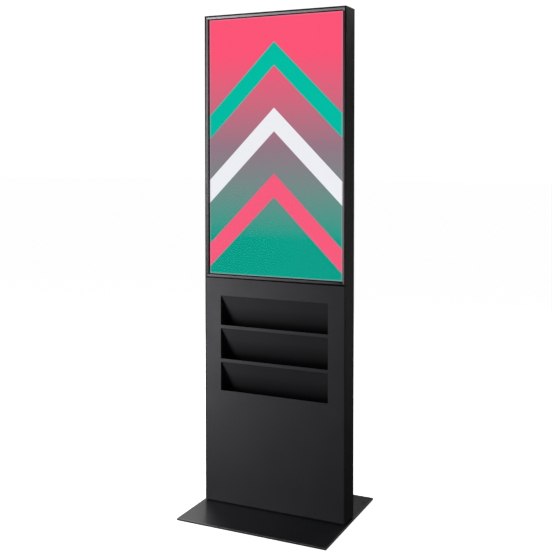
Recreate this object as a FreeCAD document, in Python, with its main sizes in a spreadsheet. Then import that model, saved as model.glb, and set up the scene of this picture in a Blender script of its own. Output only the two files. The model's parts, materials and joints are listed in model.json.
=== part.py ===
"""Free-standing display kiosk with three leaflet pockets, as separate pieces in one frame.

+X is the viewer's right, the screen faces -Y, +Z is up, and the origin is on the floor under
the middle of the base plate. All sizes are in millimetres.
"""
import FreeCAD, Part
import math
import os
import re
import Sketcher

Vector = FreeCAD.Vector

SIZES = (
    # outline of the object
    ("body_width", 560, "outside width of the upright body"),
    ("body_depth", 84, "front face to rear face of the body"),
    ("overall_height", 1820, "floor to the top of the body"),
    ("plate_width", 575, "base plate, side to side"),
    ("plate_depth", 480, "base plate, front to rear"),
    ("plate_thick", 6, "base plate thickness"),
    ("plate_corner", 2.5, "radius of the plate's corners"),
    ("plate_bevel", 0.8, "bevel around the plate's top face"),
    ("mat_thick", 2, "rubber mat under the base plate"),
    ("mat_inset", 8, "mat edge inside the plate edge"),
    ("shadow_gap", 4, "recess between the plate and the body"),
    ("plinth_inset", 4, "plinth face behind the body faces"),
    ("plinth_wall", 2.5, "plinth ring wall"),
    ("seam_height", 852, "floor to the underside of the display section"),
    ("seam_gap", 3, "open joint between the display section and the lower panel"),
    ("fit_gap", 0.3, "clearance between neighbouring sheet parts"),
    # outer profiles and cap
    ("side_wall", 3.5, "wall of the aluminium side profiles"),
    ("edge_radius", 0.8, "rounding of the profiles' outer corners"),
    ("ledge_width", 10, "rear ledge that the covers rest on"),
    ("ledge_thick", 2, "thickness of that ledge"),
    ("cap_thick", 3, "top cap plate"),
    ("bracket_sheet", 2, "sheet of the small steel brackets"),
    ("bracket_size", 30, "height of the side brackets"),
    ("bracket_start", 120, "lowest side bracket above the body's bottom"),
    ("corner_leg", 22, "legs of the cap's corner angles"),
    ("corner_length", 14, "length of the cap's corner angles"),
    # steel frame
    ("tube_width", 30, "upright tube, side to side"),
    ("tube_depth", 40, "upright tube, front to rear"),
    ("tube_wall", 2, "wall of the steel tubes"),
    ("side_room", 14.5, "space between an upright and a side profile"),
    ("rear_room", 12, "space between an upright and the rear face"),
    ("foot_width", 44, "foot plate, side to side"),
    ("foot_room", 7, "foot plate edge inside the body's faces"),
    ("foot_thick", 8, "foot plate thickness"),
    ("foot_screw_x", 14, "foot screws, half spacing across"),
    ("foot_screw_y", 24, "foot screws, half spacing front to rear"),
    ("foot_screw", 5, "foot screw shank radius"),
    ("foot_head", 10, "foot screw head radius"),
    ("screw_room", 0.1, "radial clearance of screw holes"),
    ("upright_drop", 15, "upright's open end below the cap"),
    ("cross_height", 30, "height of the cross tubes"),
    ("cross_depth", 22, "depth of the cross tubes"),
    ("cross_drop", 10.8, "lower cross tube below the pocket cheeks"),
    ("cross_lift", 4, "middle cross tube above the seam"),
    ("mount_spread", 200, "display crossbars above and below the screen's middle"),
    ("rail_offset", 130, "display rails from the middle"),
    ("rail_half_length", 260, "half length of a display rail"),
    # lower front panel and its windows
    ("panel_sheet", 2, "front panel sheet"),
    ("panel_return", 20, "folded edge of the front panel"),
    ("panel_bend", 1.8, "outside radius of the panel's folded edges"),
    ("window_width", 428, "width of the three windows"),
    ("window_top", 784.6, "top edge of the upper window"),
    ("upper_window", 109.6, "height of the upper window"),
    ("middle_window", 113.8, "height of the middle window"),
    ("lower_window", 107, "height of the lower window"),
    ("bar_height", 11.7, "bars between the windows"),
    # leaflet trays
    ("tray_sheet", 1.5, "sheet of the trays and cheeks"),
    ("tray_flange", 11, "upright flange at a tray's top"),
    ("tray_overlap", 1.5, "tray end beyond the window's side"),
    ("tray_lip", 12, "turned-up edge at a tray's floor"),
    ("lean_run", 60, "how far a tray's back falls away from the front"),
    ("lean_drop", 159, "height over which it does so"),
    ("cheek_flange", 13, "fixing flange of a cheek"),
    ("cheek_gap", 0.2, "cheek to the trays' ends"),
    ("cheek_rear", 4, "cheek beyond the trays' lean, to the rear"),
    ("cheek_drop", 20, "cheek beyond the lowest tray, downwards"),
    ("stud_radius", 2, "weld stud"),
    ("stud_length", 7, "weld stud"),
    ("nut_size", 3.5, "half of a nut's width across flats"),
    ("nut_thick", 3.2, "nut thickness"),
    # display stack, from the front
    ("surround_wall", 2, "wall of the display's surround"),
    ("surround_depth", 23, "depth of the surround"),
    ("touch_band", 7, "visible width of the touch frame"),
    ("touch_set_back", 0.5, "touch frame behind the front face"),
    ("touch_bevel", 2, "fall of its sloping face"),
    ("glass_recess", 4.5, "cover glass behind the front face"),
    ("glass_gap", 0.5, "glass edge to the surround"),
    ("glass_thick", 4, "cover glass"),
    ("dark_margin", 2.5, "touch frame to the picture"),
    ("gasket_thick", 1.5, "foam between glass and screen panel"),
    ("cell_border", 3.3, "screen panel beyond the picture"),
    ("cell_thick", 2.4, "screen panel"),
    ("diffuser_thick", 2, "diffuser plate"),
    ("backlight_depth", 8.6, "screen panel to the chassis rear face"),
    ("chassis_wall", 1, "sheet of the display chassis"),
    ("board_standoff", 6, "boards behind the chassis"),
    ("board_thick", 1.6, "circuit board"),
    # rear skins and door
    ("rear_sheet", 2, "rear covers and door"),
    ("cover_gap", 1.5, "rear sheets to the profiles' walls"),
    ("sill_height", 66, "fixed sheet below the door"),
    ("door_gap", 2.5, "gap above and below the door"),
    ("hinge_radius", 4, "hinge barrels"),
    ("hinge_pin", 2, "hinge pin radius"),
    ("pin_clearance", 0.05, "radial clearance of turning fits"),
    ("hinge_length", 30, "length of each half barrel"),
    ("hinge_inset", 90, "hinges from the door's ends"),
    ("vent_height", 60, "height of the vent slots"),
    ("vent_width", 4, "width of the vent slots"),
    ("vent_pitch", 12, "spacing of the vent slots"),
    ("cover_head", 3.8, "radius of the rear screws' heads"),
    ("cover_head_thick", 1.8, "height of the rear screws' heads"),
    ("lock_height", 445, "lock axis above the floor"),
    ("lock_radius", 9.4, "lock body"),
    ("lock_plug", 6, "turning plug of the lock"),
    # electrical pieces
    ("inlet_x", 150, "mains inlet from the middle"),
    ("inlet_z", 42, "mains inlet above the floor"),
    ("rocker_half", 6, "half height of the switch rocker"),
    ("rocker_tilt", 10, "tilt of the rocker each way, in degrees"),
    ("port_depth", 12, "depth of the main board's sockets"),
    ("touch_plug_depth", 8, "depth of the touch controller's socket"),
    ("speaker_x", 170, "loudspeakers from the middle"),
    ("speaker_width", 90, "loudspeaker case"),
    ("speaker_height", 60, "loudspeaker case"),
    ("shelf_height", 176, "equipment shelf above the floor"),
    ("player_height", 118, "media player"),
    ("shelf_hole", 10, "radius of the shelf's hole for a lead"),
    ("player_lead_x", 110, "that hole from the middle"),
    ("lead_radius", 3, "mains leads"),
    ("signal_radius", 2.5, "signal leads"),
    ("speaker_radius", 1.5, "loudspeaker leads"),
    ("lane_gap", 8.3, "spacing of the leads on the left upright"),
    ("clip_width", 10, "height of a lead clip"),
)
NAMES = {name for name, number, note in SIZES}

doc = FreeCAD.newDocument("kiosk")
sheet = doc.addObject("Spreadsheet::Sheet", "size")
for row, (name, number, note) in enumerate(SIZES, start=1):
    sheet.set(f"A{row}", str(number))
    sheet.setAlias(f"A{row}", name)
    sheet.set(f"B{row}", note)
doc.recompute()

nodes = {}


# ---- tools for building from the sheet ------------------------------------------------------

def tied(text):
    """Expression text in which every size is read from the sheet."""
    return re.sub(r"[a-z][a-z_]*", lambda word: "size." + word[0] if word[0] in NAMES else word[0],
                  str(text))


def value(text):
    """Number that an expression gives with the present sizes."""
    return float(sheet.evalExpression(tied(text)))


def bind(item, **values):
    for prop, text in values.items():
        item.setExpression(prop, tied(text))
    return item


def place(item, x, y, z):
    for axis, text in (("x", x), ("y", y), ("z", z)):
        item.setExpression("Placement.Base." + axis, tied(text))
    return item


def node(name, item):
    """Makes an object a sub-part: its label is the name of its file."""
    item.Label = name
    nodes[name] = item
    return item


def box(name, low, high):
    """Block between two corners, each given as three expressions."""
    solid = doc.addObject("Part::Box", name)
    bind(solid, Length=f"({high[0]}) - ({low[0]})", Width=f"({high[1]}) - ({low[1]})",
         Height=f"({high[2]}) - ({low[2]})")
    return place(solid, *low)


TURNS = {
    "z": FreeCAD.Rotation(),
    "y": FreeCAD.Rotation(Vector(1, 0, 0), -90),
    "x": FreeCAD.Rotation(Vector(0, 1, 0), 90),
}


def rod(name, axis, start, radius, length):
    """Cylinder that begins at start and runs along an axis."""
    solid = doc.addObject("Part::Cylinder", name)
    solid.Placement = FreeCAD.Placement(Vector(), TURNS[axis])
    bind(solid, Radius=radius, Height=length)
    return place(solid, *start)


def cone(name, start, low_radius, high_radius, height):
    solid = doc.addObject("Part::Cone", name)
    bind(solid, Radius1=low_radius, Radius2=high_radius, Height=height)
    return place(solid, *start)


def group(name, items):
    """Several separate solids in one object."""
    solid = doc.addObject("Part::Compound", name)
    solid.Links = items
    return solid


def fuse(name, items):
    solid = doc.addObject("Part::MultiFuse", name)
    solid.Shapes = items
    solid.Refine = True
    return solid


def cut(name, base, tools):
    solid = doc.addObject("Part::Cut", name)
    solid.Base = base
    solid.Tool = group(name + "_tools", tools) if len(tools) > 1 else tools[0]
    return solid


def rounded(name, base, radius, wanted, kind="Part::Fillet"):
    """Rounds or bevels the edges for which wanted(edge) is true."""
    doc.recompute()
    solid = doc.addObject(kind, name)
    solid.Base = base
    size = sheet.get(radius)
    chosen = [i for i, edge in enumerate(base.Shape.Edges, start=1) if wanted(edge)]
    solid.Edges = [(i, size, size) for i in chosen]
    return solid


def outline(body, name, plane, corners):
    """Closed sketch whose corners are each held by two dimensions from the sheet."""
    sketch = body.newObject("Sketcher::SketchObject", name)
    support = [item for item in body.Origin.OriginFeatures if item.Role == plane][0]
    sketch.AttachmentSupport = [(support, "")]
    sketch.MapMode = "FlatFace"
    count = len(corners)
    turn = 2 * math.pi / count
    ring = [Vector(math.cos(i * turn), math.sin(i * turn), 0) for i in range(count)]
    for i in range(count):
        sketch.addGeometry(Part.LineSegment(ring[i], ring[(i + 1) % count]))
    for i in range(count):
        sketch.addConstraint(Sketcher.Constraint("Coincident", i, 2, (i + 1) % count, 1))
    for i, (across, up) in enumerate(corners):
        for kind, now, text in (("DistanceX", ring[i].x, across), ("DistanceY", ring[i].y, up)):
            index = sketch.addConstraint(Sketcher.Constraint(kind, -1, 1, i, 1, now))
            sketch.setExpression(f"Constraints[{index}]", tied(text))
    return sketch


def profile(name, plane, corners, start, length):
    """PartDesign body: an outline padded along +Z, +Y or +X from start."""
    body = doc.addObject("PartDesign::Body", name)
    pad = body.newObject("PartDesign::Pad", name + "_pad")
    pad.Profile = outline(body, name + "_outline", plane, corners)
    pad.Reversed = plane == "XZ_Plane"
    bind(pad, Length=length)
    body.Tip = pad
    along = {"XY_Plane": "z", "XZ_Plane": "y", "YZ_Plane": "x"}[plane]
    body.setExpression("Placement.Base." + along, tied(start))
    return body


def near(number, target, within=0.05):
    return abs(number - target) < within


def upright_edge(edge):
    """True for a straight vertical edge."""
    ends = [vertex.Point for vertex in edge.Vertexes]
    return len(ends) == 2 and (ends[0] - ends[1]).cross(Vector(0, 0, 1)).Length < 1e-6


# ---- places worked out from the sizes ---------------------------------------------------------

half = "(body_width / 2)"
front = "(-body_depth / 2)"
back = "(body_depth / 2)"
inside = f"({half} - side_wall)"
plate_top = "(mat_thick + plate_thick)"
body_bottom = f"({plate_top} + shadow_gap)"
cap_bottom = "(overall_height - cap_thick)"
panel_top = "(seam_height - seam_gap)"
panel_back = f"({front} + panel_sheet)"
screen_top = f"({cap_bottom} - fit_gap)"
screen_middle = f"((seam_height + {screen_top}) / 2)"
upright_x = f"({inside} - side_room - tube_width / 2)"
upright_inner = f"({upright_x} - tube_width / 2)"
upright_back = f"({back} - rear_room)"
upright_front = f"({upright_back} - tube_depth)"
glass_front = f"({front} + glass_recess)"
glass_back = f"({glass_front} + glass_thick)"
cell_front = f"({glass_back} + gasket_thick)"
cell_back = f"({cell_front} + cell_thick)"
chassis_back = f"({cell_back} + backlight_depth)"
board_front = f"({chassis_back} + board_standoff)"
board_back = f"({board_front} + board_thick)"
skin_front = f"({back} - rear_sheet)"
ledge_back = f"({skin_front} - fit_gap)"
ledge_front = f"({ledge_back} - ledge_thick)"
ledge_inner = f"({inside} - ledge_width)"
sill_top = f"({body_bottom} + sill_height)"
door_bottom = f"({sill_top} + door_gap)"
door_top = f"({panel_top} - door_gap)"
door_edge = f"({inside} - cover_gap - 0.5)"
hinge_x = f"(0 - {inside} + 0.5)"
hinge_y = f"({back} + hinge_radius + 1)"
lock_x = f"({upright_inner} - lock_radius - 0.6)"
window_tops = (
    "window_top",
    "(window_top - upper_window - bar_height)",
    "(window_top - upper_window - middle_window - 2 * bar_height)",
)
window_heights = ("upper_window", "middle_window", "lower_window")
cheek_bottom = f"({window_tops[2]} - lean_drop - cheek_drop)"
cheek_stud_x = "(window_width / 2 + tray_overlap + cheek_gap + tray_sheet + cheek_flange / 2)"
crossbar_low = f"({screen_middle} - mount_spread - cross_height / 2)"
crossbar_high = f"({screen_middle} + mount_spread - cross_height / 2)"
speaker_rest = "(seam_height + cross_lift + cross_height)"
speaker_top = f"({speaker_rest} + speaker_height)"
touch_z = f"(({speaker_top} + {crossbar_low}) / 2)"
SIDES = (("left", "-1"), ("right", "1"))


# ---- base -------------------------------------------------------------------------------------

def make_base():
    mat_x = "(plate_width / 2 - mat_inset)"
    mat_y = "(plate_depth / 2 - mat_inset)"
    node("floor_mat", box("mat", (f"-{mat_x}", f"-{mat_y}", "0"), (mat_x, mat_y, "mat_thick")))

    slab = box("slab", ("-plate_width / 2", "-plate_depth / 2", "mat_thick"),
               ("plate_width / 2", "plate_depth / 2", plate_top))
    slab = rounded("slab_corners", slab, "plate_corner", upright_edge)
    top = sheet.mat_thick + sheet.plate_thick
    slab = rounded("slab_bevel", slab, "plate_bevel",
                   lambda edge: edge.BoundBox.ZMin > top - 0.01, "Part::Chamfer")
    head, hole = "(plate_thick - 1)", "(foot_screw + screw_room)"
    seats, screws = [], []
    for side, sign in SIDES:
        for i, (dx, dy) in enumerate(((-1, -1), (1, -1), (1, 1), (-1, 1))):
            x = f"({sign} * {upright_x} + {dx} * foot_screw_x)"
            y = f"({dy} * foot_screw_y)"
            tag = f"{side}_{i}"
            seats.append(cone(f"sink_{tag}", (x, y, "mat_thick"), "foot_head + fit_gap", hole, head))
            seats.append(rod(f"hole_{tag}", "z", (x, y, "mat_thick"), hole, "plate_thick"))
            shank = rod(f"shank_{tag}", "z", (x, y, "mat_thick + 0.5"), "foot_screw",
                        "plate_thick + foot_thick - 1")
            cap = cone(f"head_{tag}", (x, y, "mat_thick"), "foot_head", "foot_screw", f"{head} - 0.2")
            screws.append(fuse(f"screw_{tag}", [cap, shank]))
    node("base_plate", cut("plate", slab, [fuse("plate_holes", seats)]))
    node("base_screws", group("base_screw_set", screws))

    ring_x, ring_y = f"({half} - plinth_inset)", f"({back} - plinth_inset)"
    outer = box("plinth_outer", (f"-{ring_x}", f"-{ring_y}", plate_top),
                (ring_x, ring_y, body_bottom))
    hollow_x, hollow_y = f"({ring_x} - plinth_wall)", f"({ring_y} - plinth_wall)"
    hollow = box("plinth_hollow", (f"-{hollow_x}", f"-{hollow_y}", plate_top),
                 (hollow_x, hollow_y, body_bottom))
    node("plinth_frame", cut("plinth", outer, [hollow]))


# ---- steel frame ------------------------------------------------------------------------------

def tube(name, low, high, along):
    """Square tube between two corners, open along one axis (0, 1 or 2)."""
    inner_low = [text if i == along else f"({text} + tube_wall)" for i, text in enumerate(low)]
    inner_high = [text if i == along else f"({text} - tube_wall)" for i, text in enumerate(high)]
    return cut(name, box(name + "_outer", low, high), [box(name + "_bore", inner_low, inner_high)])


def make_frame():
    foot_y = f"({back} - foot_room)"
    foot_top = f"({plate_top} + foot_thick)"
    for side, sign in SIDES:
        x = f"({sign} * {upright_x})"
        post = tube(f"post_{side}", (f"{x} - tube_width / 2", upright_front, foot_top),
                    (f"{x} + tube_width / 2", upright_back, f"({cap_bottom} - upright_drop)"), 2)
        foot = box(f"foot_{side}", (f"{x} - foot_width / 2", f"-{foot_y}", plate_top),
                   (f"{x} + foot_width / 2", foot_y, foot_top))
        threads = [rod(f"thread_{side}_{i}", "z",
                       (f"{x} + {dx} * foot_screw_x", f"{dy} * foot_screw_y", plate_top),
                       "foot_screw + screw_room", "foot_thick")
                   for i, (dx, dy) in enumerate(((-1, -1), (1, -1), (1, 1), (-1, 1)))]
        node(f"upright_{side}", cut(f"upright_{side}_cut", fuse(f"upright_{side}_weld", [post, foot]),
                                    threads))

    def cross(name, bottom):
        return tube(name, (f"-{upright_inner}", upright_front, bottom),
                    (upright_inner, f"({upright_front} + cross_depth)",
                     f"({bottom} + cross_height)"), 0)
    node("cross_tube_lower", cross("cross_low", f"({cheek_bottom} - cross_drop - cross_height)"))
    node("cross_tube_middle", cross("cross_middle", "(seam_height + cross_lift)"))
    bars = [cross("crossbar_0", crossbar_low), cross("crossbar_1", crossbar_high)]
    node("display_crossbars", group("crossbar_set", bars))

    # U-shaped spacers that tie each side profile to its upright
    sheet_in = "bracket_sheet"
    y_low, y_high = f"({upright_front} + 4)", f"({upright_back} - 4)"
    pitch = f"(({cap_bottom} - {body_bottom} - 2 * bracket_start) / 3)"
    spacers = []
    for side, sign in SIDES:
        near_x, far_x = f"({upright_x} + tube_width / 2)", inside
        for i in range(4):
            shape = [(far_x, y_low), (far_x, y_high), (near_x, y_high),
                     (near_x, f"{y_high} - {sheet_in}"),
                     (f"{far_x} - {sheet_in}", f"{y_high} - {sheet_in}"),
                     (f"{far_x} - {sheet_in}", f"{y_low} + {sheet_in}"),
                     (near_x, f"{y_low} + {sheet_in}"), (near_x, y_low)]
            shape = [(f"{sign} * ({px})", py) for px, py in shape]
            level = f"({body_bottom} + bracket_start + {i} * {pitch} - bracket_size / 2)"
            spacers.append(profile(f"spacer_{side}_{i}", "XY_Plane", shape, level, "bracket_size"))
    return spacers


# ---- side profiles and cap ---------------------------------------------------------------------

def make_shell(spacers):
    for side, sign in SIDES:
        section = [(half, front), (half, back), (inside, back), (inside, ledge_back),
                   (ledge_inner, ledge_back), (ledge_inner, ledge_front), (inside, ledge_front),
                   (inside, front)]
        section = [(f"{sign} * {px}", py) for px, py in section]
        raw = profile(f"profile_{side}", "XY_Plane", section, body_bottom,
                      f"{cap_bottom} - {body_bottom}")
        outer = sheet.body_width / 2
        node(f"side_profile_{side}", rounded(
            f"profile_{side}_round", raw, "edge_radius",
            lambda edge: upright_edge(edge) and near(abs(edge.BoundBox.XMin), outer)))

    lid = box("lid", (f"-{half}", front, cap_bottom), (half, back, "overall_height"))
    lid = rounded("lid_corners", lid, "edge_radius",
                  lambda edge: upright_edge(edge) or edge.BoundBox.ZMin > sheet.overall_height - 0.01)
    node("top_cap", lid)

    angles = []
    for side, sign in SIDES:
        for i, y in enumerate((f"({front} + 30)", f"({ledge_front} - corner_length - 2)")):
            shape = [(inside, cap_bottom), (f"{inside} - corner_leg", cap_bottom),
                     (f"{inside} - corner_leg", f"{cap_bottom} - bracket_sheet"),
                     (f"{inside} - bracket_sheet", f"{cap_bottom} - bracket_sheet"),
                     (f"{inside} - bracket_sheet", f"{cap_bottom} - corner_leg"),
                     (inside, f"{cap_bottom} - corner_leg")]
            shape = [(f"{sign} * ({px})", pz) for px, pz in shape]
            angles.append(profile(f"angle_{side}_{i}", "XZ_Plane", shape, y, "corner_length"))
    node("frame_brackets", group("bracket_set", spacers + angles))

    edge = f"({inside} - panel_sheet - 2 * fit_gap)"
    tray = box("pan", (f"-{edge}", f"({panel_back} + fit_gap)", body_bottom),
               (edge, ledge_front, f"({body_bottom} + tray_sheet)"))
    openings = [box(f"pan_foot_{side}",
                    (f"{sign} * {upright_x} - foot_width / 2 - 1", f"-({back} - foot_room) - 1",
                     body_bottom),
                    (f"{sign} * {upright_x} + foot_width / 2 + 1", f"({back} - foot_room) + 1",
                     f"({body_bottom} + tray_sheet)")) for side, sign in SIDES]
    node("floor_pan", cut("pan_cut", tray, openings))


# ---- lower front panel and leaflet trays --------------------------------------------------------

def stud_places():
    """(x, z) of every weld stud: four along each tray's flange, three on each cheek's."""
    places = []
    for top in window_tops:
        for share in ("-0.8", "-0.3", "0.3", "0.8"):
            places.append((f"({share} * window_width / 2)", f"({top} + tray_flange / 2)"))
    for sign in ("-1", "1"):
        x = f"({sign} * {cheek_stud_x})"
        for top in window_tops:
            places.append((x, f"({top} - lower_window / 2)"))
    return places


def make_front_panel():
    edge = f"({inside} - fit_gap)"
    skirt = f"({front} + panel_return)"
    face = box("panel_face", (f"-{edge}", front, body_bottom), (edge, panel_back, panel_top))
    folds = [box("panel_top_fold", (f"-{edge}", front, f"({panel_top} - panel_sheet)"),
                 (edge, skirt, panel_top)),
             box("panel_left_fold", (f"-{edge}", front, body_bottom),
                 (f"-{edge} + panel_sheet", skirt, panel_top)),
             box("panel_right_fold", (f"{edge} - panel_sheet", front, body_bottom),
                 (edge, skirt, panel_top))]
    folded = fuse("panel_folded", [face] + folds)
    x_edge = sheet.body_width / 2 - sheet.side_wall - sheet.fit_gap
    y_face, z_top = -sheet.body_depth / 2, sheet.seam_height - sheet.seam_gap

    def outer_bend(line):
        at = line.BoundBox
        flush = near(at.YMin, y_face) and near(at.YMax, y_face)
        side_bend = upright_edge(line) and near(abs(at.XMin), x_edge)
        top_bend = near(at.ZMin, z_top) and near(at.ZMax, z_top)
        return flush and (side_bend or top_bend)
    folded = rounded("panel_bends", folded, "panel_bend", outer_bend)
    windows = [box(f"window_{i}", ("-window_width / 2", f"({front} - 1)", f"{top} - {height}"),
                   ("window_width / 2", f"({panel_back} + 1)", top))
               for i, (top, height) in enumerate(zip(window_tops, window_heights))]
    pierced = cut("panel_windows", folded, windows)
    studs = [rod(f"stud_{i}", "y", (x, f"{panel_back} - 0.5", z), "stud_radius",
                 "stud_length + 0.5") for i, (x, z) in enumerate(stud_places())]
    node("lower_front_panel", fuse("panel_with_studs", [pierced] + studs))


def hexagon(name, x, y, z, thick):
    """Nut: six-sided block with its hole, standing on the plane y."""
    flat, corner = "nut_size", "(nut_size * 1.1547)"
    shape = [(f"{x} + {corner}", z), (f"{x} + {corner} / 2", f"{z} + {flat}"),
             (f"{x} - {corner} / 2", f"{z} + {flat}"), (f"{x} - {corner}", z),
             (f"{x} - {corner} / 2", f"{z} - {flat}"), (f"{x} + {corner} / 2", f"{z} - {flat}")]
    block = profile(name, "XZ_Plane", shape, y, thick)
    hole = rod(name + "_hole", "y", (x, f"{y} - 1", z), "stud_radius + 0.1", f"{thick} + 2")
    return cut(name + "_nut", block, [hole])


def make_trays():
    length = "sqrt(lean_run ^ 2 + lean_drop ^ 2)"
    back_y, down_z = f"(lean_run / {length})", f"(lean_drop / {length})"
    pitch = "(min(upper_window; middle_window) + bar_height)"
    reach = f"({pitch} * {back_y} - 2 * tray_sheet - 2 * fit_gap)"
    thick = "tray_sheet"
    end_x = "(window_width / 2 + tray_overlap)"
    for name, top, tag in zip(("tray_upper", "tray_middle", "tray_lower"), window_tops, "abc"):
        # the back leans away downwards; the floor is square to it and ends in a lip
        bottom = (f"({panel_back} + lean_run)", f"({top} - lean_drop)")
        corner = (f"({bottom[0]} - {reach} * {down_z})", f"({bottom[1]} - {reach} * {back_y})")
        tip = (f"({corner[0]} - tray_lip * {back_y})", f"({corner[1]} + tray_lip * {down_z})")
        section = [
            (panel_back, f"{top} + tray_flange"),
            (panel_back, top),
            bottom,
            corner,
            tip,
            (f"{tip[0]} - {thick} * {down_z}", f"{tip[1]} - {thick} * {back_y}"),
            (f"{corner[0]} - {thick} * {down_z} + {thick} * {back_y}",
             f"{corner[1]} - {thick} * {back_y} - {thick} * {down_z}"),
            (f"{bottom[0]} + {thick} * {down_z} + {thick} * {back_y}",
             f"{bottom[1]} + {thick} * {back_y} - {thick} * {down_z}"),
            (f"{panel_back} + {thick}",
             f"{top} + {thick} * {back_y} - {down_z} * {thick} * (1 - {down_z}) / {back_y}"),
            (f"{panel_back} + {thick}", f"{top} + tray_flange"),
        ]
        folded = profile(f"fold_{tag}", "YZ_Plane", section, f"-{end_x}", f"2 * {end_x}")
        holes = [rod(f"tray_hole_{tag}{i}", "y",
                     (f"{share} * window_width / 2", f"{panel_back} - 1", f"{top} + tray_flange / 2"),
                     "stud_radius + 0.3", f"{thick} + 2")
                 for i, share in enumerate(("-0.8", "-0.3", "0.3", "0.8"))]
        node(name, cut(f"fold_{tag}_holes", folded, holes))

    cheek_high = f"({window_tops[0]} + tray_flange)"
    cheek_back = f"({panel_back} + lean_run + cheek_rear)"
    for side, sign in SIDES:
        inner = f"({end_x} + cheek_gap)"
        section = [(inner, panel_back), (inner, cheek_back), (f"{inner} + {thick}", cheek_back),
                   (f"{inner} + {thick}", f"{panel_back} + {thick}"),
                   (f"{inner} + {thick} + cheek_flange", f"{panel_back} + {thick}"),
                   (f"{inner} + {thick} + cheek_flange", panel_back)]
        section = [(f"{sign} * ({px})", py) for px, py in section]
        folded = profile(f"cheek_{side}", "XY_Plane", section, cheek_bottom,
                         f"{cheek_high} - {cheek_bottom}")
        x = f"({sign} * {cheek_stud_x})"
        holes = [rod(f"cheek_hole_{side}{i}", "y", (x, f"{panel_back} - 1",
                                                    f"{top} - lower_window / 2"),
                     "stud_radius + 0.3", f"{thick} + 2") for i, top in enumerate(window_tops)]
        node(f"pocket_cheek_{side}", cut(f"cheek_{side}_holes", folded, holes))

    nuts = [hexagon(f"stud_nut_{i}", x, f"({panel_back} + {thick})", z, "nut_thick")
            for i, (x, z) in enumerate(stud_places())]
    node("stud_nuts", group("stud_nut_set", nuts))


# ---- display section ------------------------------------------------------------------------------

def frame_box(name, inset, y_low, y_high):
    """Block as large as the display section less an inset all round."""
    x = f"({inside} - fit_gap - ({inset}))"
    return box(name, (f"-{x}", y_low, f"(seam_height + ({inset}))"),
               (x, y_high, f"({screen_top} - ({inset}))"))


def frame_ring(name, outer, inner, y_low, y_high):
    return cut(name, frame_box(name + "_outer", outer, y_low, y_high),
               [frame_box(name + "_inner", inner, y_low, y_high)])


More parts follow.
